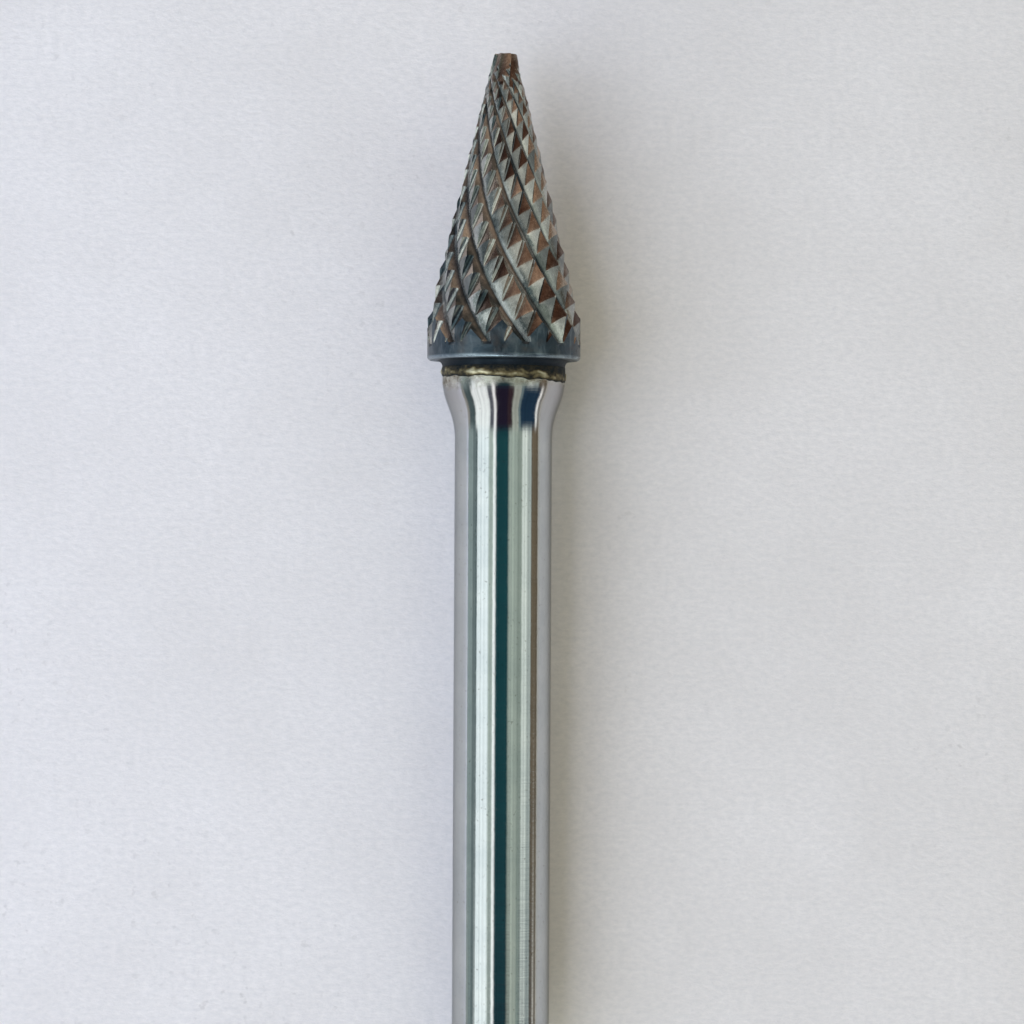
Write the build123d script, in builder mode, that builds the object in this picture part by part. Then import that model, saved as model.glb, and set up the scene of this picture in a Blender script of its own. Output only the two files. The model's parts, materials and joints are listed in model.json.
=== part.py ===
from build123d import *
from math import cos, log, radians, sin, tan
import os

# A cone-shaped carbide rotary burr, in millimetres. The spin axis is the Y axis, the tip points to +Y,
# and the origin is the centre of the shank's free end.

# Overall sizes: a 10 mm by 20 mm cone on a quarter-inch shank
shank_length = 45.0  # free end to the head's underside
shank_diameter = 6.35
head_length = 20.0  # underside to tip
head_diameter = 10.0
tip_diameter = 1.5  # the small flat left at the point
band_length = 2.9  # the plain stretch at the head's base

# Teeth: right-hand flutes crossed by left-hand chip breakers. Each groove turns by its twist for each e-fold
# of the crest's radius, plus its advance for each millimetre along the axis.
flute_count = 22
flute_twist = -22.2
flute_advance = -4.77
flute_phase = 9.2  # degrees from the top line to the first groove, at the cone's wide end
breaker_count = 12
breaker_twist = 63.8
breaker_advance = 4.05
breaker_phase = 2.8
tooth_depth_share = 0.085  # of the crest's radius
rake_width = 3.0  # degrees across a steep rake face
overrun = 0.3  # how far the grinding starts before the tip
flute_turn_step = 6.0  # degrees of turn from one section of the flutes to the next
breaker_turn_step = 10.0

# Brazed joint between the head's neck and the shank's collar
joint_diameter = 8.0
neck_length = 0.5
neck_fillet_wanted = 0.3
band_chamfer = 0.12
braze_thickness = 0.1
shim_thickness = 0.2
bead_height = 0.14
bead_width = 0.9

# Shank
collar_length = 1.1
collar_edge_radius = 0.4
taper_angle = 20.5  # degrees from the axis
blend_radius_wanted = 5.0
end_chamfer = 0.5

wall_share = 0.8  # the most of a wall that a fillet may take up

# Stations along the axis
underside_y = shank_length
tip_y = shank_length + head_length
band_top_y = underside_y + band_length
cone_length = tip_y - band_top_y
neck_face_y = underside_y - neck_length
shim_top_y = neck_face_y - braze_thickness
shim_bottom_y = shim_top_y - shim_thickness
shank_top_y = shim_bottom_y - braze_thickness
taper_top_y = shank_top_y - collar_length
joint_y = (neck_face_y + shank_top_y) / 2

head_radius = head_diameter / 2
tip_radius = tip_diameter / 2
joint_radius = joint_diameter / 2
shank_radius = shank_diameter / 2
cone_slope = (head_radius - tip_radius) / cone_length
blank_length = tip_y - neck_face_y
taper_length = (joint_radius - shank_radius) / tan(radians(taper_angle))
taper_bottom_y = taper_top_y - taper_length
blend_radius = min(blend_radius_wanted, wall_share * taper_length / tan(radians(taper_angle / 2)))
ledge_width = head_radius - joint_radius - band_chamfer  # the flat of the head's underside
neck_fillet = min(neck_fillet_wanted, wall_share * ledge_width, wall_share * neck_length)

os.makedirs("parts", exist_ok=True)


def crest(station):
    """The radius of the tooth crests this far from the tip, on the cone carried on past its wide end."""
    return tip_radius + cone_slope * station


def stations(twist, advance, turn):
    """Distances from the tip, one turn step apart, from before the tip to past the neck."""
    places = [-overrun]
    while places[-1] < blank_length:
        rate = abs(twist * cone_slope / crest(places[-1]) + advance)
        places.append(places[-1] + turn / rate)
    return places


def ratchet(station, count, twist, advance, phase):
    """The corners of a ratchet wheel: a valley, a shallow back up to the crest, a steep rake face down."""
    high = crest(station)
    low = high * (1 - tooth_depth_share)
    pitch = 360 / count
    start = phase + twist * log(high / head_radius) + advance * (station - cone_length)
    corners = []
    for tooth in range(count):
        valley = radians(start + tooth * pitch)
        top = radians(start + (tooth + 1) * pitch - rake_width)
        corners.append((low * sin(valley), low * cos(valley)))
        corners.append((high * sin(top), high * cos(top)))
    return corners


with BuildPart() as carbide_head:
    # the blank: the band, the underside and the neck
    with BuildSketch(Plane.XY) as base:
        with BuildLine():
            Polyline(
                (0, tip_y),
                (head_radius, tip_y),
                (head_radius, underside_y),
                (joint_radius, underside_y),
                (joint_radius, neck_face_y),
                (0, neck_face_y),
                close=True,
            )
        make_face()
        outer = base.vertices().filter_by_position(Axis.Y, underside_y, underside_y).sort_by(Axis.X)[-1]
        chamfer(outer, length=band_chamfer)
        inner = base.vertices().filter_by_position(Axis.Y, underside_y, underside_y).sort_by(Axis.X)[0]
        fillet(inner, radius=neck_fillet)
    revolve(axis=Axis.Y)
    # the flutes are ground along the cone and run out through the band
    for station in stations(flute_twist, flute_advance, flute_turn_step):
        corners = ratchet(station, flute_count, flute_twist, flute_advance, flute_phase)
        with BuildSketch(Plane.XZ.offset(station - tip_y)):
            with BuildLine():
                Polyline(*corners, close=True)
            make_face()
    loft(mode=Mode.INTERSECT)
    # the chip breakers cross them; each wheel starts on a crest, so that the loft joins like to like
    for station in stations(breaker_twist, breaker_advance, breaker_turn_step):
        corners = ratchet(station, breaker_count, breaker_twist, breaker_advance, breaker_phase)
        with BuildSketch(Plane.XZ.offset(station - tip_y)):
            with BuildLine():
                Polyline(*corners[1:], corners[0], close=True)
            make_face()
    loft(mode=Mode.INTERSECT)
carbide_head.part.label = "carbide_head"
export_step(carbide_head.part, "parts/carbide_head.step")

with BuildPart() as braze_layer_head_side:
    with BuildSketch(Plane.XZ.offset(-shim_top_y)):
        Circle(joint_radius)
    extrude(amount=-braze_thickness)
braze_layer_head_side.part.label = "braze_layer_head_side"
export_step(braze_layer_head_side.part, "parts/braze_layer_head_side.step")

with BuildPart() as copper_shim:
    with BuildSketch(Plane.XZ.offset(-shim_bottom_y)):
        Circle(joint_radius)
    extrude(amount=-shim_thickness)
copper_shim.part.label = "copper_shim"
export_step(copper_shim.part, "parts/copper_shim.step")

with BuildPart() as braze_layer_shank_side:
    with BuildSketch(Plane.XZ.offset(-shank_top_y)):
        Circle(joint_radius)
    extrude(amount=-braze_thickness)
braze_layer_shank_side.part.label = "braze_layer_shank_side"
export_step(braze_layer_shank_side.part, "parts/braze_layer_shank_side.step")

with BuildPart() as braze_fillet:
    # a low rounded bead round the joint, from the neck to the collar
    with BuildSketch(Plane.XY):
        with BuildLine():
            ThreePointArc(
                (joint_radius, joint_y - bead_width / 2),
                (joint_radius + bead_height, joint_y),
                (joint_radius, joint_y + bead_width / 2),
            )
            Line((joint_radius, joint_y + bead_width / 2), (joint_radius, joint_y - bead_width / 2))
        make_face()
    revolve(axis=Axis.Y)
braze_fillet.part.label = "braze_fillet"
export_step(braze_fillet.part, "parts/braze_fillet.step")

with BuildPart() as shank:
    with BuildSketch(Plane.XY) as outline:
        with BuildLine():
            Polyline(
                (0, shank_top_y),
                (joint_radius, shank_top_y),
                (joint_radius, taper_top_y),
                (shank_radius, taper_bottom_y),
                (shank_radius, 0),
                (0, 0),
                close=True,
            )
        make_face()
        collar_edge = outline.vertices().filter_by_position(Axis.Y, taper_top_y, taper_top_y)
        fillet(collar_edge, radius=collar_edge_radius)
        taper_foot = outline.vertices().filter_by_position(Axis.Y, taper_bottom_y, taper_bottom_y)
        fillet(taper_foot, radius=blend_radius)
        free_end = outline.vertices().filter_by_position(Axis.Y, 0, 0).sort_by(Axis.X)[-1]
        chamfer(free_end, length=end_chamfer)
    revolve(axis=Axis.Y)
shank.part.label = "shank"
export_step(shank.part, "parts/shank.step")
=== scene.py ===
import json
import math
import bmesh
import bpy
import numpy as np
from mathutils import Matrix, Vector, noise


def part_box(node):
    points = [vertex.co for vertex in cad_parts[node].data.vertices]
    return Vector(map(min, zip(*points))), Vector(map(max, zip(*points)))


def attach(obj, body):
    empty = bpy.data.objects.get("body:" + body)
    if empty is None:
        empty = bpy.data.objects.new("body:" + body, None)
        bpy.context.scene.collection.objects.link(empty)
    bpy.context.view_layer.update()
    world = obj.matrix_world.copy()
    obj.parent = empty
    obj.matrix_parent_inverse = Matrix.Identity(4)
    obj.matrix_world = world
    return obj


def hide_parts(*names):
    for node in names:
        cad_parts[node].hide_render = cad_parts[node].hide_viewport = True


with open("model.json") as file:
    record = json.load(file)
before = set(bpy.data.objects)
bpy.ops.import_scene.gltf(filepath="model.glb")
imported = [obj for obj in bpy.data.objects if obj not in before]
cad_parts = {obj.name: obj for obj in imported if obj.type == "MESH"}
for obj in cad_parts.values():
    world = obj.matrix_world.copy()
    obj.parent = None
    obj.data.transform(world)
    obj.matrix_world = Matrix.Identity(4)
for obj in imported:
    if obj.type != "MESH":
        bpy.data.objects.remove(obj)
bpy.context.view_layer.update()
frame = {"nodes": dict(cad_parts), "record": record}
MM = 0.001

# Sizes in millimetres, read from the frame. The spin axis is Y and the tip points to +Y.
HEAD_LOW, HEAD_HIGH = (np.array(corner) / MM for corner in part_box("carbide_head"))
SHANK_HIGH = np.array(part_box("shank")[1]) / MM
BEAD_LOW, BEAD_HIGH = (np.array(corner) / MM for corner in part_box("braze_fillet"))
MOUNTS = {mount["name"]: mount for mount in frame["record"]["mounts"]}
TIP_Y = HEAD_HIGH[1]
NECK_FACE_Y = HEAD_LOW[1]
HEAD_RADIUS = HEAD_HIGH[0]
SHANK_RADIUS = MOUNTS["shank"]["dims"]["r_mm"]
JOINT_RADIUS = SHANK_HIGH[0]
SHANK_TOP_Y = SHANK_HIGH[1]
JOINT_Y = (BEAD_LOW[1] + BEAD_HIGH[1]) / 2

# The head. A station is a distance from the tip, in millimetres.
HEAD_LENGTH = 20.0
CONE_LENGTH = 17.1
TIP_RADIUS = 0.75
CONE_SLOPE = (HEAD_RADIUS - TIP_RADIUS) / CONE_LENGTH
UNDERSIDE_Y = TIP_Y - HEAD_LENGTH
RIM_ROUNDING = 0.22
NECK_FILLET = 0.44
TIP_CHAMFER = 0.05

# Teeth. Each groove turns by its twist for each e-fold of the crest's radius, plus its advance for each
# millimetre along the axis, plus its tip turn, which counts near the tip only. The rake is the width of the
# steep face of a tooth. All in degrees.
FLUTES = {"count": 22, "phase": -70.4, "twist": -22.2, "advance": -4.77, "tip_turn": 0.0, "rake": 5.6}
BREAKERS = {"count": 12, "phase": 62.6, "twist": -182.9, "advance": 14.28, "tip_turn": -311.0, "rake": 8.5}
# Depths, as shares of the crest's radius
BREAKER_DEPTH = 0.112
FLUTE_DEPTH = 0.088
TIP_DEPTH = 0.24
RIPPLE = 0.014  # the most that unevenness takes off the surface
JITTER = 0.05  # how far a groove may stray, in pitches
# The section of a groove: the shares of its depth where the mesh has a line, and how far each such line is
# from the crest
DEPTHS = np.array((0.0, 0.04, 0.2, 0.4, 0.6, 0.78, 0.93, 1.0))
BACK_PLACES = np.array((0.0, 0.04, 0.25, 0.5, 0.71, 0.85, 0.94, 1.0))
RAKE_PLACES = np.array((0.0, 0.1, 0.17, 0.27, 0.41, 0.57, 0.77, 1.0))
# The breakers share the flutes' levels, so that the ridges between them follow the mesh, and then go deeper
FLUTES["levels"] = DEPTHS
BREAKERS["levels"] = np.append(DEPTHS * FLUTE_DEPTH / BREAKER_DEPTH, (0.9, 1.0))

# Near the tip only a few wide, deep flutes are left. Each pair is the stations where a change starts and
# ends.
TIP_FLUTES = 7
TIP_START = 2  # the flute where the first wide one starts
TIP_REACH = 1.9  # the station up to which a facet takes its look from its wide flute
FLUTES_COME_IN = (1.2, 3.8)
BREAKERS_COME_IN = (0.4, 2.2)
TIP_DEPTH_FADES = (0.2, 2.6)

# The shank
COLLAR_LENGTH = 1.1
COLLAR_EDGE_RADIUS = 4.5
TAPER_ANGLE = 20.5
BLEND_RADIUS = 5.0
END_CHAMFER = 0.5

# Where a finish fades in along the axis: there is none at the first height, and it is full at the second. At
# the rim this is partly wear and partly a painted highlight
RIM_WEAR_AND_HIGHLIGHT = (UNDERSIDE_Y + 0.3, UNDERSIDE_Y + 0.13)
# the neck's darkening: flux and painted shade under the band's overhang
NECK_FLUX_AND_SHADE = (UNDERSIDE_Y + 0.03, UNDERSIDE_Y - 0.02)
HEAT_STAIN = (SHANK_TOP_Y - 4.3, SHANK_TOP_Y - 1.6)
COLLAR_FLUX = (SHANK_TOP_Y - 1.0, SHANK_TOP_Y - 0.4)
BEAD_RIDGES = (JOINT_RADIUS + 0.02, JOINT_RADIUS + 0.1)  # the same, away from the axis


# ---------------------------------------------------------------- node helpers

class Nodes:
    """A short way to write a node tree."""

    def __init__(self, tree):
        self.tree = tree

    def add(self, kind, **settings):
        node = self.tree.nodes.new(kind)
        for key, value in settings.items():
            setattr(node, key, value)
        return node

    def link(self, source, target):
        self.tree.links.new(source, target)

    def ramp(self, source, stops):
        """A colour ramp with (position, colour) stops."""
        node = self.add("ShaderNodeValToRGB")
        elements = node.color_ramp.elements
        while len(elements) > 1:
            elements.remove(elements[-1])
        elements[0].position = stops[0][0]
        elements[0].color = (*stops[0][1], 1.0)
        for position, colour in stops[1:]:
            elements.new(position).color = (*colour, 1.0)
        self.link(source, node.inputs["Fac"])
        return node.outputs["Color"]

    def fit(self, source, low, high, to_low, to_high, **settings):
        node = self.add("ShaderNodeMapRange", **settings)
        for key, value in zip(("From Min", "From Max", "To Min", "To Max"), (low, high, to_low, to_high)):
            node.inputs[key].default_value = value
        self.link(source, node.inputs["Value"])
        return node.outputs["Result"]

    def mix(self, factor, first, second, blend="MIX"):
        node = self.add("ShaderNodeMix", data_type="RGBA", blend_type=blend)
        for socket, value in ((node.inputs[0], factor), (node.inputs[6], first), (node.inputs[7], second)):
            if isinstance(value, (int, float)):
                socket.default_value = value
            elif isinstance(value, tuple):
                socket.default_value = (*value, 1.0)
            else:
                self.link(value, socket)
        return node.outputs[2]

    def maths(self, operation, first, second=0.0):
        node = self.add("ShaderNodeMath", operation=operation)
        for socket, value in zip(node.inputs, (first, second)):
            if isinstance(value, (int, float)):
                socket.default_value = value
            else:
                self.link(value, socket)
        return node.outputs[0]

    def separate(self, source):
        node = self.add("ShaderNodeSeparateXYZ")
        self.link(source, node.inputs[0])
        return node.outputs


class Material(Nodes):
    """A procedural material. Its noises have their scale in features for each metre."""

    def __init__(self, name):
        self.material = bpy.data.materials.new(name)
        self.material.use_nodes = True
        super().__init__(self.material.node_tree)
        self.shader = self.tree.nodes["Principled BSDF"]
        self.place = self.add("ShaderNodeTexCoord").outputs["Object"]

    def stretch(self, scale):
        node = self.add("ShaderNodeMapping")
        node.inputs["Scale"].default_value = scale
        self.link(self.place, node.inputs["Vector"])
        return node.outputs["Vector"]

    def noise(self, scale, detail=3.0, roughness=0.55, source=None, distortion=0.0):
        node = self.add("ShaderNodeTexNoise")
        node.inputs["Scale"].default_value = scale
        node.inputs["Detail"].default_value = detail
        node.inputs["Roughness"].default_value = roughness
        node.inputs["Distortion"].default_value = distortion
        self.link(source or self.place, node.inputs["Vector"])
        return node.outputs["Fac"]

    def attribute(self, name):
        return self.add("ShaderNodeAttribute", attribute_name=name).outputs["Fac"]

    def from_axis(self):
        """The distance from the spin axis, in metres."""
        flat = self.add("ShaderNodeVectorMath", operation="MULTIPLY")
        flat.inputs[1].default_value = (1, 0, 1)
        self.link(self.place, flat.inputs[0])
        length = self.add("ShaderNodeVectorMath", operation="LENGTH")
        self.link(flat.outputs["Vector"], length.inputs[0])
        return length.outputs["Value"]

    def fade(self, source, places, strength):
        """From 0 at the first place to the strength at the second, both in millimetres."""
        return self.fit(source, places[0] * MM, places[1] * MM, 0.0, strength)

    def bump(self, height, strength, distance):
        node = self.add("ShaderNodeBump")
        node.inputs["Strength"].default_value = strength
        node.inputs["Distance"].default_value = distance
        self.link(height, node.inputs["Height"])
        self.link(node.outputs["Normal"], self.shader.inputs["Normal"])


# ---------------------------------------------------------------- materials

def ground_carbide(name, dark, light, roughness):
    """Ground tungsten carbide: patches of stain, painted shade in the gullets, and crests made lighter,
    partly by wear and partly as a painted glint.
    """
    # The first colour is painted shade for the bottoms of the gullets; the second lightens the crests, partly
    # as wear and partly as a painted glint
    dirt_and_shade, worn = (0.012, 0.024, 0.032), (0.7, 0.66, 0.58)
    m = Material(name)
    patches = m.noise(750, 4, 0.65)
    blotches = m.noise(230, 2, 0.5)
    grain = m.noise(1.0, 4, 0.7, m.stretch((9000, 3500, 9000)))
    tone = m.attribute("tone")
    mottle = m.maths("ADD", m.maths("MULTIPLY", patches, 0.45), m.maths("MULTIPLY", blotches, 0.25))
    tint = m.ramp(m.maths("ADD", mottle, m.maths("MULTIPLY", tone, 0.3)), [(0.37, dark), (0.65, light)])
    tint = m.mix(1.0, tint, m.fit(grain, 0.3, 0.7, 0.75, 1.15), "MULTIPLY")
    depth = m.attribute("depth")
    ragged = m.maths("ADD", depth, m.maths("MULTIPLY", m.maths("SUBTRACT", patches, 0.5), 0.12))
    # painted shade: the deepest part of each gullet is darkened to near-black
    tint = m.mix(m.fit(ragged, 0.86, 1.0, 0.0, 0.75), tint, dirt_and_shade)
    # the crests lightened: partly wear, partly a painted glint along the edges
    tint = m.mix(m.fit(ragged, 0.05, 0.0, 0.0, 0.55), tint, worn)
    m.link(tint, m.shader.inputs["Base Color"])
    m.shader.inputs["Metallic"].default_value = 0.92
    m.link(m.fit(grain, 0.3, 0.7, roughness - 0.05, roughness + 0.1), m.shader.inputs["Roughness"])
    m.bump(m.maths("ADD", grain, m.maths("MULTIPLY", patches, 1.5)), 0.35, 0.00002)
    return m.material


def sintered_carbide():
    """The band as it left the furnace: dark, dull and uneven, with a rim lightened partly by wear and partly
    as a painted highlight, and a neck darkened by flux and by painted shade under the band.
    """
    # the last colour lightens the rim: partly wear, partly a painted highlight
    streak, brown, worn = (0.17, 0.2, 0.21), (0.13, 0.09, 0.065), (0.42, 0.5, 0.54)
    skin = [(0.3, (0.018, 0.028, 0.036)), (0.52, (0.042, 0.062, 0.077)), (0.7, (0.1, 0.12, 0.13))]
    # near-black for the neck: flux and painted shade under the band's overhang
    flux_and_shade_skin = [(0.4, (0.003, 0.008, 0.014)), (0.7, (0.012, 0.018, 0.026))]
    m = Material("carbide_sintered")
    patches = m.noise(650, 5, 0.65, distortion=0.6)
    grain = m.noise(7000, 4, 0.7)
    streaks = m.noise(1.0, 3, 0.6, m.stretch((2600, 700, 2600)))
    colour = m.ramp(patches, skin)
    colour = m.mix(m.fit(streaks, 0.52, 0.72, 0.0, 0.5), colour, streak)
    colour = m.mix(m.fit(m.noise(420, 3, 0.6), 0.55, 0.75, 0.0, 0.5), colour, brown)
    along = m.separate(m.place)["Y"]
    # the rim, lighter: partly wear, partly a painted highlight
    rim = m.maths("MULTIPLY", m.fade(along, RIM_WEAR_AND_HIGHLIGHT, 0.55), m.fit(patches, 0.35, 0.6, 0.3, 1.0))
    colour = m.mix(rim, colour, worn)
    # the neck, near-black: flux and painted shade under the band
    flux_and_shade = m.fade(along, NECK_FLUX_AND_SHADE, 0.97)
    colour = m.mix(flux_and_shade, colour, m.ramp(patches, flux_and_shade_skin))
    m.link(colour, m.shader.inputs["Base Color"])
    m.shader.inputs["Metallic"].default_value = 0.8
    dull = m.maths("ADD", m.fit(patches, 0.3, 0.7, 0.26, 0.4), m.maths("MULTIPLY", flux_and_shade, 0.3))
    m.link(m.maths("SUBTRACT", dull, m.maths("MULTIPLY", rim, 0.2)), m.shader.inputs["Roughness"])
    m.bump(m.maths("ADD", grain, patches), 0.4, 0.00003)
    return m.material


def polished_steel():
    """The shank: ground and polished steel, with heat stain and flux just under the joint."""
    stain, pit = (0.43, 0.4, 0.4), (0.2, 0.19, 0.17)
    flux_crust = [(0.35, (0.2, 0.16, 0.1)), (0.6, (0.62, 0.6, 0.52))]
    m = Material("shank_steel")
    rings = m.noise(1.0, 3, 0.65, m.stretch((300, 8000, 300)))
    waves = m.noise(1.0, 2, 0.5, m.stretch((500, 900, 500)))
    pits = m.noise(5200, 2, 0.5)
    steel = m.ramp(m.noise(420, 4, 0.6), [(0.3, (0.47, 0.49, 0.49)), (0.7, (0.56, 0.57, 0.56))])
    steel = m.mix(m.fit(pits, 0.66, 0.74, 0.0, 0.5), steel, pit)
    raggedness = m.maths("MULTIPLY", m.maths("SUBTRACT", waves, 0.5), 1.6 * MM)
    along = m.maths("ADD", m.separate(m.place)["Y"], raggedness)
    flux_and_shade = m.fade(along, COLLAR_FLUX, 0.85)
    steel = m.mix(m.fade(along, HEAT_STAIN, 0.55), steel, stain)
    steel = m.mix(flux_and_shade, steel, m.ramp(m.noise(2400, 4, 0.6), flux_crust))
    m.link(steel, m.shader.inputs["Base Color"])
    m.shader.inputs["Metallic"].default_value = 1.0
    m.shader.inputs["Specular Tint"].default_value = (0.62, 0.62, 0.62, 1.0)
    gloss = m.fit(rings, 0.3, 0.7, 0.05, 0.12)
    m.link(m.maths("ADD", gloss, m.maths("MULTIPLY", flux_and_shade, 0.3)), m.shader.inputs["Roughness"])
    m.bump(m.maths("ADD", m.maths("MULTIPLY", rings, 0.5), waves), 0.2, 0.00004)
    return m.material


def braze_metal():
    """Silver solder: olive gold on the ridges, dark flux in the hollows."""
    hollow_to_ridge = [
        (0.27, (0.006, 0.012, 0.016)),
        (0.38, (0.05, 0.042, 0.026)),
        (0.54, (0.2, 0.165, 0.085)),
        (0.78, (0.6, 0.55, 0.36)),
    ]
    m = Material("braze_alloy")
    fine, coarse = m.noise(2600, 5, 0.7), m.noise(700, 2, 0.5)
    lumps = m.maths("ADD", m.maths("MULTIPLY", fine, 0.7), m.maths("MULTIPLY", coarse, 0.3))
    proud = m.fade(m.from_axis(), BEAD_RIDGES, 0.5)
    height = m.maths("ADD", proud, m.maths("MULTIPLY", lumps, 0.6))
    m.link(m.ramp(height, hollow_to_ridge), m.shader.inputs["Base Color"])
    m.shader.inputs["Metallic"].default_value = 0.75
    m.link(m.fit(height, 0.4, 0.8, 0.65, 0.34), m.shader.inputs["Roughness"])
    m.bump(lumps, 0.8, 0.00007)
    return m.material


def copper_metal():
    """The copper shim, a little uneven in colour."""
    m = Material("copper")
    colour = m.ramp(m.noise(800), [(0.3, (0.5, 0.22, 0.12)), (0.7, (0.72, 0.38, 0.24))])
    m.link(colour, m.shader.inputs["Base Color"])
    m.shader.inputs["Metallic"].default_value = 1.0
    m.shader.inputs["Roughness"].default_value = 0.35
    return m.material


def paper():
    """Pale paper with fibres, faint stains and a few dark specks."""
    fibre_tint, dirt_tint = (0.58, 0.56, 0.52), (0.38, 0.35, 0.31)
    m = Material("floor_paper")
    mottle = m.noise(55, 6, 0.65)
    fibre = m.noise(1.0, 4, 0.7, m.stretch((1800, 3200, 1)))
    stains = m.noise(38, 5, 0.7, distortion=0.8)
    specks = m.noise(1500, 2, 0.5)
    colour = m.ramp(mottle, [(0.3, (0.69, 0.65, 0.59)), (0.7, (0.775, 0.735, 0.675))])
    colour = m.mix(m.fit(fibre, 0.35, 0.7, 0.0, 0.55), colour, fibre_tint)
    dirt_and_shade = m.maths("MULTIPLY", m.fit(stains, 0.5, 0.7, 0.0, 0.8), m.fit(specks, 0.62, 0.7, 0.0, 0.5))
    m.link(m.mix(dirt_and_shade, colour, dirt_tint), m.shader.inputs["Base Color"])
    m.shader.inputs["Roughness"].default_value = 0.8
    m.shader.inputs["Specular IOR Level"].default_value = 0.2
    m.bump(fibre, 0.5, 0.00008)
    return m.material


# ---------------------------------------------------------------- the toothed head

BACK, BREAKER_BACK, RAKE, BAND = range(4)  # the head's material slots
TIP_CUT = 0.05  # stations where the toothed surface is cut level
BAND_CUT = 19.0
BAND_RINGS = 4  # rings of faces between that cut and the rim
BAND_RING_HEIGHT = 0.18
HEAD_SHARP_ANGLE = 28

# How near counts as being there in the head's mesh work, in millimetres
CUT_TOLERANCE = 1e-6
BAND_TOLERANCE = 1e-5
WELD_DISTANCE = 1e-4
RING_TOLERANCE = 1e-3


def crest_radius(station):
    """The radius of the teeth's crests at this distance from the tip."""
    return TIP_RADIUS + CONE_SLOPE * station


def turned(family, station):
    """The angle of a family's groove number 0 at this distance from the tip, in degrees."""
    radius = crest_radius(station)
    return (
        family["phase"]
        + family["twist"] * np.log(radius / HEAD_RADIUS)
        + family["advance"] * (station - CONE_LENGTH)
        + family["tip_turn"] * (1 / radius - 1 / HEAD_RADIUS)
    )


def line_count(family):
    """How many lattice lines there are for each tooth."""
    return 2 * (len(family["levels"]) - 1)


def tooth_lines(family):
    """Where one tooth's lattice lines lie, as shares of a pitch from valley to valley, and their levels."""
    rake_share = family["rake"] * family["count"] / 360
    levels = family["levels"]
    back = (1 - rake_share) * (1 - np.interp(levels, DEPTHS, BACK_PLACES)[::-1])
    rake = 1 - rake_share + rake_share * np.interp(levels, DEPTHS, RAKE_PLACES)[1:]
    steps = len(levels) - 1
    return np.concatenate((back, rake)), np.concatenate((np.arange(steps, -1, -1), np.arange(1, steps + 1)))


def smooth_step(value, low, high):
    """From 0 at low to 1 at high, with no corner at either."""
    t = np.clip((value - low) / (high - low), 0, 1)
    return t * t * (3 - 2 * t)


def strayed(place, turn, shifts):
    """Moves each line by its groove's own shift, blended from each groove to the next."""
    return place + np.interp(turn, np.arange(len(shifts) + 1), np.append(shifts, shifts[0]))


def wide_flutes(place, flute_pitch):
    """The wide flutes near the tip: how deep each line is in its own, as a share, and that flute's number."""
    starts = np.ceil(np.arange(TIP_FLUTES + 1) * FLUTES["count"] / TIP_FLUTES)
    from_start = (place - TIP_START) % FLUTES["count"]
    number = np.searchsorted(starts[1:-1], from_start, side="right")
    way = from_start - starts[number]
    width = starts[number + 1] - starts[number]
    rake = FLUTES["rake"] / flute_pitch
    back = width - rake
    return np.where(way < back, 1 - way / back, (way - width + rake) / rake), number


def lattice():
    """Every crossing of the two families' lines: its angle, station, depth in each groove and greatest depth.

    Also each line's level, and how deep each flute line is in its wide flute and that flute's number.
    """
    u_lines, v_lines = line_count(FLUTES), line_count(BREAKERS)
    flute_places, flute_levels = tooth_lines(FLUTES)
    breaker_places, breaker_levels = tooth_lines(BREAKERS)
    stations = np.linspace(-0.5, HEAD_LENGTH, 4000)
    spread = turned(BREAKERS, stations) - turned(FLUTES, stations)
    flute_pitch = 360 / FLUTES["count"]
    breaker_pitch = 360 / BREAKERS["count"]
    first = math.floor((0 - spread[-1]) / breaker_pitch) - 1
    last = math.ceil((360 - spread[0]) / breaker_pitch) + 1
    u = np.arange(FLUTES["count"] * u_lines + 1)
    v = np.arange(first * v_lines, last * v_lines + 1)
    plain_u = u // u_lines + flute_places[u % u_lines]
    plain_v = v // v_lines + breaker_places[v % v_lines]
    # no two grooves are ground quite alike
    uneven = np.random.default_rng(7)
    u_shift = uneven.uniform(-JITTER, JITTER, FLUTES["count"])
    v_shift = uneven.uniform(-JITTER, JITTER, BREAKERS["count"])
    u_place = strayed(plain_u, plain_u, u_shift)
    v_place = strayed(plain_v, plain_v % BREAKERS["count"], v_shift)
    # two lines cross where their families have turned apart by as much as the lines lie apart
    wanted = flute_pitch * u_place[:, None] - breaker_pitch * v_place[None, :]
    station = np.interp(wanted, spread, stations, left=np.nan, right=np.nan)
    angle = flute_pitch * u_place[:, None] + turned(FLUTES, station)
    u_level = flute_levels[u % u_lines]
    v_level = breaker_levels[v % v_lines]
    depth_u = np.broadcast_to(FLUTES["levels"][u_level][:, None], station.shape)
    depth_v = np.broadcast_to(BREAKERS["levels"][v_level][None, :], station.shape)
    # near the tip only some of the flutes are left, and the breakers start a little later
    wide, number = wide_flutes(plain_u, flute_pitch)
    all_in = smooth_step(station, *FLUTES_COME_IN)
    depth_u = depth_u * all_in + wide[:, None] * (1 - all_in)
    depth_v = depth_v * smooth_step(station, *BREAKERS_COME_IN)
    deeper = (1 - smooth_step(station, *TIP_DEPTH_FADES)) * (TIP_DEPTH - FLUTE_DEPTH)
    cut_u = depth_u * (FLUTE_DEPTH + deeper)
    cut_v = depth_v * (BREAKER_DEPTH + deeper)
    return angle, station, cut_u, cut_v, BREAKER_DEPTH + deeper, u_level, v_level, wide, number


def wear(x, y, z):
    """A little unevenness, mostly between -1 and 1, the same each run."""
    return noise.noise(Vector((x, y, z)) * 1.3) * 0.6 + noise.noise(Vector((x, y, z)) * 4.0) * 0.4


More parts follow.
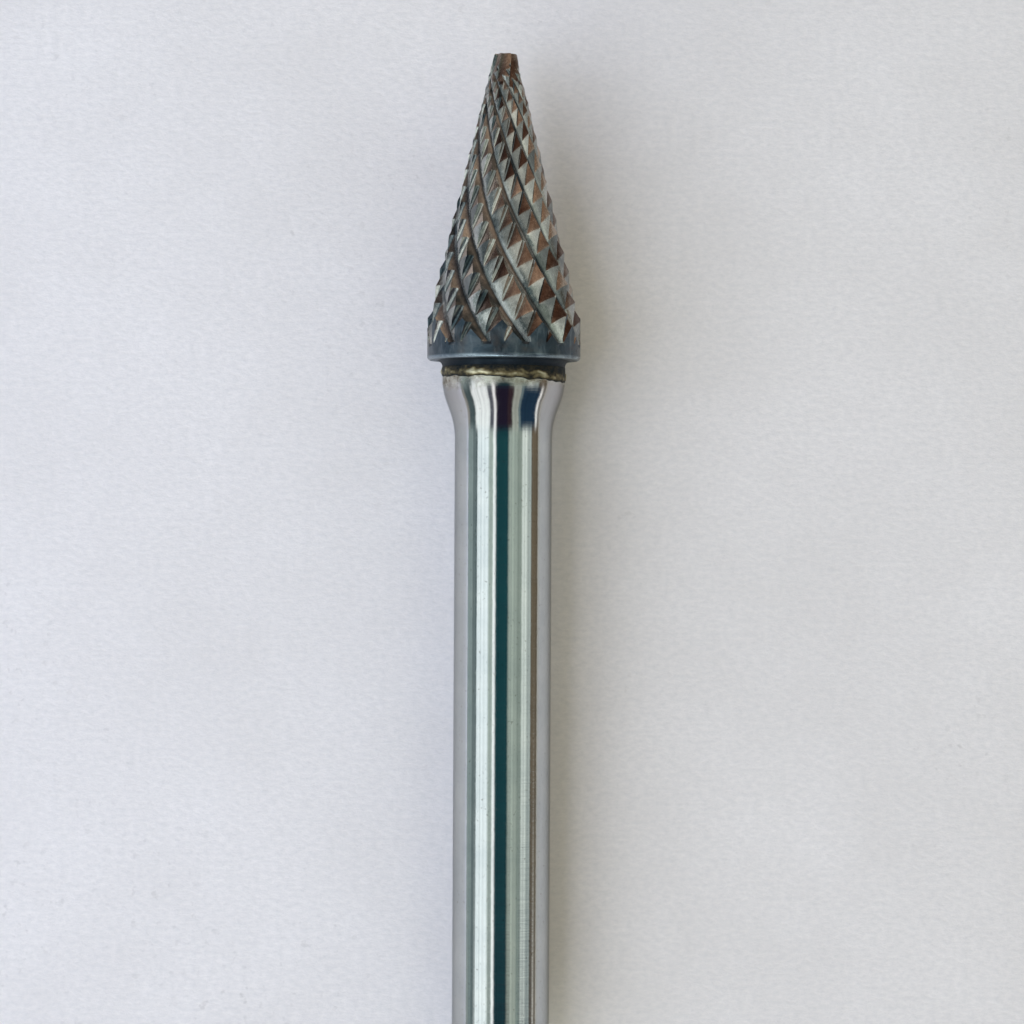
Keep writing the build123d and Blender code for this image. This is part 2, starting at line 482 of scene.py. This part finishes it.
def toothed_surface():
    """The toothed part of the head, cut level at both ends, as a bmesh in millimetres."""
    angle, station, cut_u, cut_v, deepest, u_level, v_level, wide, number = lattice()
    radius = crest_radius(station) * (1 - np.maximum(cut_u, cut_v))
    u_lines, v_lines = line_count(FLUTES), line_count(BREAKERS)
    tones = np.random.default_rng(11).uniform(0, 1, (FLUTES["count"] + 1, len(v_level) // v_lines + 1, 3))
    tip_row = tones[:TIP_FLUTES, :, BACK].min(axis=0).argmax()  # a row of tones that are all light
    bm = bmesh.new()
    depth_layer = bm.verts.layers.float.new("depth")
    tone_layer = bm.faces.layers.float.new("tone")
    made = {}

    # the surface is first laid out flat: x is the way round at the head's radius, y the station, z the radius
    def vertex(i, j):
        if (i, j) not in made:
            made[i, j] = bm.verts.new((math.radians(angle[i, j]) * HEAD_RADIUS, station[i, j], radius[i, j]))
            made[i, j][depth_layer] = max(cut_u[i, j], cut_v[i, j]) / deepest[i, j]
        return made[i, j]

    corners = np.stack((station[:-1, :-1], station[1:, :-1], station[:-1, 1:], station[1:, 1:]))
    whole = np.isfinite(corners).all(axis=0)
    whole &= (corners.max(axis=0) > 0) & (corners.min(axis=0) < BAND_CUT + 0.1)
    for i, j in zip(*np.nonzero(whole)):
        crossings = ((i, j), (i + 1, j), (i + 1, j + 1), (i, j + 1))
        u0, u1, v0, v1 = u_level[i], u_level[i + 1], v_level[j], v_level[j + 1]
        # where both families reach the same levels, the ridge or gutter between them is the cell's diagonal
        pieces = ((0, 1, 2, 3),)
        if {u0, u1} == {v0, v1}:
            pieces = ((0, 1, 2), (0, 2, 3)) if u0 == v0 else ((0, 1, 3), (1, 2, 3))
        for numbers in pieces:
            picked = [crossings[n] for n in numbers]
            face = bm.faces.new([vertex(*crossing) for crossing in picked])
            tooth, row = i // u_lines, j // v_lines
            if sum(cut_u[crossing] for crossing in picked) > sum(cut_v[crossing] for crossing in picked):
                falls = u1 < u0
                if sum(station[crossing] for crossing in picked) < TIP_REACH * len(picked):
                    tooth, row, falls = number[i], tip_row, wide[i + 1] < wide[i]
                face.material_index = BACK if falls else RAKE
            else:
                face.material_index = BREAKER_BACK if v1 < v0 else RAKE
            face[tone_layer] = tones[tooth, row, face.material_index]

    # cut it level at both ends, and where the crests meet the plain band
    for place, normal, clear in (
        ((0, TIP_CUT, 0), (0, -1, 0), True),
        ((0, BAND_CUT, 0), (0, 1, 0), True),
        ((0, 0, HEAD_RADIUS), (0, 0, 1), False),
    ):
        parts = bm.verts[:] + bm.edges[:] + bm.faces[:]
        bmesh.ops.bisect_plane(
            bm, geom=parts, dist=CUT_TOLERANCE, plane_co=place, plane_no=normal, clear_outer=clear
        )
    for face in bm.faces:
        if face.calc_center_median().z > HEAD_RADIUS + BAND_TOLERANCE:
            face.material_index = BAND

    # roll it up round the axis
    for v in bm.verts:
        angle_here, station_here, radius_here = v.co.x / HEAD_RADIUS, v.co.y, min(v.co.z, HEAD_RADIUS)
        x, z = radius_here * math.sin(angle_here), radius_here * math.cos(angle_here)
        toothed = v.co.z < HEAD_RADIUS - WELD_DISTANCE
        worn = 1 - RIPPLE * (0.5 + 0.5 * wear(x, station_here, z)) * (1 if toothed else 0)
        v.co = (x * worn, TIP_Y - station_here, z * worn)
    bmesh.ops.remove_doubles(bm, verts=bm.verts, dist=WELD_DISTANCE)
    return bm


def boundary_at(bm, y):
    """The edges of the open ring at this height."""
    return [e for e in bm.edges if e.is_boundary and all(abs(v.co.y - y) < RING_TOLERANCE for v in e.verts)]


def grow_ring(bm, edges, y, kind, radius=None, inset=0.0):
    """Adds a ring of faces from an open ring of edges to a new one at y, and returns the new edges.

    The new ring has the radius given, or else each point keeps its own, less the inset.
    """
    made = bmesh.ops.extrude_edge_only(bm, edges=edges)["geom"]
    for v in (g for g in made if isinstance(g, bmesh.types.BMVert)):
        angle_here = math.atan2(v.co.x, v.co.z)
        radius_here = math.hypot(v.co.x, v.co.z) - inset if radius is None else radius
        v.co = (radius_here * math.sin(angle_here), y, radius_here * math.cos(angle_here))
    for face in (g for g in made if isinstance(g, bmesh.types.BMFace)):
        face.material_index = kind
    return [g for g in made if isinstance(g, bmesh.types.BMEdge) and g.is_boundary]


def close_ring(bm, edges, y, kind):
    """Closes an open ring with triangles to a point on the axis."""
    centre = bm.verts.new((0, y, 0))
    for e in edges:
        face = bm.faces.new((e.verts[0], e.verts[1], centre))
        face.material_index = kind


def rounded(points, radii, steps):
    """A polyline with each inner corner rounded by an arc of its own radius, where that isn't 0."""
    points = [np.array(p, float) for p in points]
    path = [points[0]]
    for before, corner, after, radius in zip(points, points[1:], points[2:], radii):
        if not radius:
            path.append(corner)
            continue
        inward = (before - corner) / np.linalg.norm(before - corner)
        outward = (after - corner) / np.linalg.norm(after - corner)
        half = math.acos(np.clip(inward @ outward, -1, 1)) / 2
        middle = corner + (inward + outward) / np.linalg.norm(inward + outward) * radius / math.sin(half)
        start = corner + inward * radius / math.tan(half) - middle
        end = corner + outward * radius / math.tan(half) - middle
        turn = math.acos(np.clip(start @ end / radius**2, -1, 1))
        for k in range(steps + 1):
            share = k / steps
            arm = (start * math.sin((1 - share) * turn) + end * math.sin(share * turn)) / math.sin(turn)
            path.append(middle + arm)
    path.append(points[-1])
    return path


def carbide_head():
    """The toothed cone, closed by the tip above it and by the band, the underside and the neck below it."""
    bm = toothed_surface()
    tip_ring = grow_ring(bm, boundary_at(bm, TIP_Y - TIP_CUT), TIP_Y, BACK, inset=TIP_CHAMFER)
    close_ring(bm, tip_ring, TIP_Y, BACK)

    band_top = TIP_Y - BAND_CUT
    band = [(HEAD_RADIUS, band_top - BAND_RING_HEIGHT * k) for k in range(1, BAND_RINGS + 1)]
    below = rounded(
        [
            (HEAD_RADIUS, band_top),
            (HEAD_RADIUS, UNDERSIDE_Y),
            (JOINT_RADIUS, UNDERSIDE_Y),
            (JOINT_RADIUS, NECK_FACE_Y),
        ],
        (RIM_ROUNDING, NECK_FILLET),
        steps=6,
    )
    ring = boundary_at(bm, band_top)
    for radius, y in band + [tuple(p) for p in below[1:]]:
        ring = grow_ring(bm, ring, y, BAND, radius=radius)
    close_ring(bm, ring, NECK_FACE_Y, BAND)
    ground = (
        ("carbide_flute_backs", (0.09, 0.055, 0.042), (0.46, 0.38, 0.31), 0.2),
        ("carbide_breaker_backs", (0.17, 0.18, 0.175), (0.52, 0.52, 0.48), 0.2),
        ("carbide_rake_faces", (0.05, 0.07, 0.08), (0.5, 0.49, 0.45), 0.15),
    )
    materials = [ground_carbide(*look) for look in ground] + [sintered_carbide()]
    return finish_mesh("carbide_head_mesh", bm, materials, HEAD_SHARP_ANGLE)


def finish_mesh(name, bm, materials, sharp_angle):
    """Makes an object in metres from a bmesh in millimetres, smooth but for edges over the sharp angle."""
    bmesh.ops.recalc_face_normals(bm, faces=bm.faces)
    for v in bm.verts:
        v.co *= MM
    for e in bm.edges:
        e.smooth = len(e.link_faces) == 2 and e.calc_face_angle(0) < math.radians(sharp_angle)
    for face in bm.faces:
        face.smooth = True
    mesh = bpy.data.meshes.new(name)
    bm.to_mesh(mesh)
    bm.free()
    piece = bpy.data.objects.new(name, mesh)
    bpy.context.scene.collection.objects.link(piece)
    for material in materials:
        mesh.materials.append(material)
    return piece


# ---------------------------------------------------------------- lathed pieces

def lathe(name, profile, around, material, sharp_angle, shape=None, looped=False):
    """A solid of revolution about Y from (radius, y) points; shape may move each point by its angle."""
    bm = bmesh.new()
    rings = []
    for radius, y in profile:
        if radius == 0:
            rings.append([bm.verts.new((0, y, 0))])
            continue
        ring = []
        for k in range(around):
            angle = 2 * math.pi * k / around
            r, here = shape(angle, radius, y) if shape else (radius, y)
            ring.append(bm.verts.new((r * math.sin(angle), here, r * math.cos(angle))))
        rings.append(ring)
    for one, two in zip(rings, rings[1:] + (rings[:1] if looped else [])):
        for k in range(around):
            n = (k + 1) % around
            if len(one) == 1:
                bm.faces.new((one[0], two[k], two[n]))
            elif len(two) == 1:
                bm.faces.new((one[k], one[n], two[0]))
            else:
                bm.faces.new((one[k], one[n], two[n], two[k]))
    return finish_mesh(name, bm, [material], sharp_angle)


def shank():
    """The collar, the taper and the straight shank with its chamfered free end."""
    taper_top = SHANK_TOP_Y - COLLAR_LENGTH
    taper_bottom = taper_top - (JOINT_RADIUS - SHANK_RADIUS) / math.tan(math.radians(TAPER_ANGLE))
    outline = rounded(
        [
            (0, SHANK_TOP_Y),
            (JOINT_RADIUS, SHANK_TOP_Y),
            (JOINT_RADIUS, taper_top),
            (SHANK_RADIUS, taper_bottom),
            (SHANK_RADIUS, END_CHAMFER),
            (SHANK_RADIUS - END_CHAMFER, 0),
            (0, 0),
        ],
        (0, COLLAR_EDGE_RADIUS, BLEND_RADIUS, 0, 0),
        steps=14,
    )
    return lathe("shank_mesh", [tuple(p) for p in outline], 256, polished_steel(), sharp_angle=30)


def hump(offset, width):
    """A smooth hump, 1 high at offset 0."""
    return math.exp(-((offset / width) ** 2))


def braze_bead():
    """A thin skin of flux over the joint, with two soft wavy ridges of solder that lie lower on one side."""
    rows, around = 30, 320
    skin_top = NECK_FACE_Y + 0.14
    skin_foot = 0.03  # how far the skin's edges reach into the joint
    wall = 0.15  # from the joint's radius in to the bead's hidden inner side

    def shape(angle, radius, y):
        ring = Vector((math.sin(angle), math.cos(angle), 0)) * 4
        share = JOINT_Y - y  # the profile is 1 mm high, so this goes from 0 at the skin's top to 1 at its end
        slow = noise.noise(ring * 0.9)
        ridge = JOINT_Y - 0.32 - 0.2 * math.sin(angle) + 0.13 * slow
        low = ridge - 0.28 + 0.1 * noise.noise(ring * 2.1)
        here = skin_top + (low - skin_top) * share
        if radius < JOINT_RADIUS:
            return radius, here
        upper = ridge + 0.2 + 0.16 * noise.noise(ring * 1.3 + Vector((3, 0, 0)))
        first = hump(here - ridge, 0.15) * (0.6 + 1.1 * slow)
        second = hump(here - upper, 0.12) * (0.5 + 1.2 * noise.noise(ring * 1.1 + Vector((0, 5, 0))))
        lump = 1 + 0.9 * noise.noise(Vector((ring.x * 2.4, ring.y * 2.4, here * 4)))
        grit = 0.012 * noise.noise(Vector((ring.x * 6, ring.y * 6, here * 11)))
        proud = 0.02 + 0.06 * max(first, 0) * lump + 0.05 * max(second, 0) * lump + grit
        edge = min(1, share * 9, (1 - share) * 9)
        return JOINT_RADIUS - skin_foot + (proud + skin_foot) * edge, here

    profile = [(JOINT_RADIUS, JOINT_Y - k / rows) for k in range(rows + 1)]
    profile += [(JOINT_RADIUS - wall, profile[-1][1]), (JOINT_RADIUS - wall, profile[0][1])]
    return lathe("braze_bead_mesh", profile, around, braze_metal(), 80, shape, looped=True)


# ---------------------------------------------------------------- stage, light and camera

FLOOR_SIZE = 1.6  # metres, as are the lamps' places and sizes
FLOOR_GAP = 0.01  # millimetres from the shank down to the floor


def stage():
    """The floor, tilted so that the head's wide end and the shank both lie on it, and two soft lamps."""
    slope = math.atan2(HEAD_RADIUS - SHANK_RADIUS, UNDERSIDE_Y)
    bpy.ops.mesh.primitive_plane_add(size=FLOOR_SIZE)
    floor = bpy.context.object
    floor.name = "floor"
    floor.data.materials.append(paper())
    floor.rotation_euler = (-slope, 0, 0)
    floor.location = (0, 0, -(SHANK_RADIUS + FLOOR_GAP) * MM)

    lamp("key_light", (-0.17, 0.03, 0.13), (0.0, 0.03, 0.0), (0.14, 0.36), 0.42, (0.84, 0.98, 1.5))
    lamp("fill_light", (0.2, -0.03, 0.13), (0.0, 0.01, 0.0), (0.14, 0.3), 0.09, (1.0, 0.93, 0.8))


def lamp(name, place, target, size, watts, colour):
    """A soft rectangular light aimed at a point."""
    light = bpy.data.lights.new(name, "AREA")
    light.shape = "RECTANGLE"
    light.size, light.size_y = size
    light.energy = watts
    light.color = colour
    stand = bpy.data.objects.new(name, light)
    stand.location = place
    stand.rotation_euler = (Vector(target) - Vector(place)).to_track_quat("-Z", "Y").to_euler()
    stand.visible_glossy = False  # the metal mirrors the room's own window instead
    bpy.context.scene.collection.objects.link(stand)


# What surrounds the tool, by the angle from straight up, where negative is left. Colours are linear light.
# Beside the tool and beyond its free end, each colour holds up to the next angle.
ROOM = (
    (-180, (0.46, 0.45, 0.42)),
    (-96, (0.14, 0.15, 0.19)),
    (-91, (0.4, 0.5, 0.5)),
    (-76, (0.26, 0.33, 0.34)),
    (-67, (0.09, 0.14, 0.15)),
    (-63, (1.4, 1.55, 1.6)),
    (-34, (0.64, 0.76, 0.7)),
    (-23, (1.9, 2.0, 2.0)),
    (-17, (0.015, 0.085, 0.1)),
    (13, (0.58, 0.68, 0.6)),
    (33, (0.42, 0.5, 0.44)),
    (46, (1.1, 1.2, 1.12)),
    (60, (0.64, 0.72, 0.68)),
    (71, (0.22, 0.175, 0.12)),
    (91, (0.8, 0.8, 0.77)),
)
NEAR_END = (
    (-180, (0.46, 0.45, 0.42)),
    (-84, (0.12, 0.17, 0.18)),
    (-68, (1.5, 1.6, 1.6)),
    (-32, (0.15, 0.16, 0.2)),
    (-22, (2.2, 2.2, 2.2)),
    (-17, (0.024, 0.018, 0.04)),
    (10, (0.06, 0.035, 0.045)),
    (21, (0.6, 0.64, 0.56)),
    (36, (0.26, 0.36, 0.38)),
    (41, (0.024, 0.06, 0.11)),
    (79, (1.5, 1.5, 1.45)),
    (84, (0.4, 0.39, 0.36)),
)
# Elsewhere each colour blends into the next: what the rim of the head's underside mirrors, then what lies
# towards the tip, which the teeth mirror, and what lies past the tip
RIM = (
    (-180, (0.1, 0.1, 0.1)),
    (-100, (0.15, 0.18, 0.2)),
    (-60, (0.5, 0.6, 0.65)),
    (-45, (4.5, 5.0, 5.2)),
    (-10, (4.5, 5.0, 5.2)),
    (0, (0.35, 0.4, 0.42)),
    (50, (0.3, 0.32, 0.32)),
    (90, (0.08, 0.08, 0.08)),
)
CEILING = (
    (-180, (0.4, 0.4, 0.39)),
    (-105, (0.06, 0.1, 0.12)),
    (-95, (1.9, 2.1, 2.2)),
    (-84, (0.08, 0.12, 0.14)),
    (-60, (0.24, 0.3, 0.31)),
    (-30, (0.8, 0.82, 0.76)),
    (0, (1.32, 1.32, 1.2)),
    (40, (0.82, 0.86, 0.82)),
    (80, (0.5, 0.53, 0.51)),
    (110, (0.4, 0.4, 0.39)),
)
FAR_END = (
    (-180, (0.32, 0.29, 0.26)),
    (-95, (0.05, 0.04, 0.04)),
    (-50, (0.24, 0.16, 0.12)),
    (0, (0.58, 0.41, 0.29)),
    (60, (0.33, 0.23, 0.165)),
    (110, (0.32, 0.29, 0.26)),
)
BACKDROP = (0.62, 0.62, 0.61)
BAND_BLEND = 0.002  # half the blend between two bands, as a share of the full turn


def blends(stops):
    """Ramp stops that blend from each colour to the next."""
    return [((degrees + 180) / 360, tint) for degrees, tint in stops]


def bands(stops):
    """Ramp stops that hold each colour up to the next angle, with a narrow blend between them."""
    out = [(0.0, stops[0][1])]
    for (_, before), (at, after) in zip(stops, blends(stops)[1:]):
        out += [(at - BAND_BLEND, before), (at + BAND_BLEND, after)]
    return out


def room():
    """The light that surrounds the tool, as a world."""
    world = bpy.data.worlds.new("room")
    world.use_nodes = True
    bpy.context.scene.world = world
    m = Nodes(world.node_tree)
    way = m.separate(m.add("ShaderNodeTexCoord").outputs["Generated"])
    angle = m.fit(m.maths("ARCTAN2", way["X"], way["Z"]), -math.pi, math.pi, 0.0, 1.0)
    colour = m.ramp(angle, bands(ROOM))
    # each part of the room starts where a direction's share along the axis is the first number
    for stops, start, full in (
        (bands(NEAR_END), -0.05, -0.34),
        (blends(RIM), -0.72, -0.88),
        (blends(CEILING), 0.11, 0.2),
        (blends(FAR_END), 0.4, 0.6),
    ):
        reach = m.fit(way["Y"], start, full, 0.0, 1.0, interpolation_type="SMOOTHSTEP")
        colour = m.mix(reach, colour, m.ramp(angle, stops))
    # folds and edges in what surrounds the tool, as fine streaks along it
    streaks = m.add("ShaderNodeTexNoise", noise_dimensions="1D")
    for key, value in (("Scale", 75), ("Detail", 3), ("Roughness", 0.75)):
        streaks.inputs[key].default_value = value
    m.link(angle, streaks.inputs["W"])
    streaked = m.add("ShaderNodeVectorMath", operation="SCALE")
    m.link(colour, streaked.inputs[0])
    m.link(m.fit(streaks.outputs["Fac"], 0.3, 0.7, 0.72, 1.22), streaked.inputs["Scale"])
    # past the floor's edge the camera itself sees only a plain backdrop
    direct = m.add("ShaderNodeLightPath").outputs["Is Camera Ray"]
    seen = m.mix(direct, streaked.outputs[0], BACKDROP)
    m.link(seen, world.node_tree.nodes["Background"].inputs["Color"])


def camera():
    """A long lens straight above the tool, with the free end of the shank out of view."""
    data = bpy.data.cameras.new("camera")
    data.lens = 105.5
    data.sensor_width = 36
    data.clip_start = 0.01
    view = bpy.data.objects.new("camera", data)
    view.location = (0.59 * MM, 35.13 * MM, 195.9 * MM)
    view.rotation_euler = (0, 0, math.radians(0.3))
    bpy.context.scene.collection.objects.link(view)
    bpy.context.scene.camera = view


# ---------------------------------------------------------------- the part

camera()
room()
stage()
bpy.context.scene.view_settings.view_transform = "Standard"

for piece, node, slot in (
    (carbide_head(), "carbide_head", "carbide"),
    (shank(), "shank", "shank_steel"),
    (braze_bead(), "braze_fillet", "braze_alloy"),
):
    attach(piece, "root")
    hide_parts(node)

for node, material in (
    ("braze_layer_head_side", braze_metal()),
    ("copper_shim", copper_metal()),
    ("braze_layer_shank_side", braze_metal()),
):
    solid = frame["nodes"][node]
    solid.data.materials.clear()
    solid.data.materials.append(material)
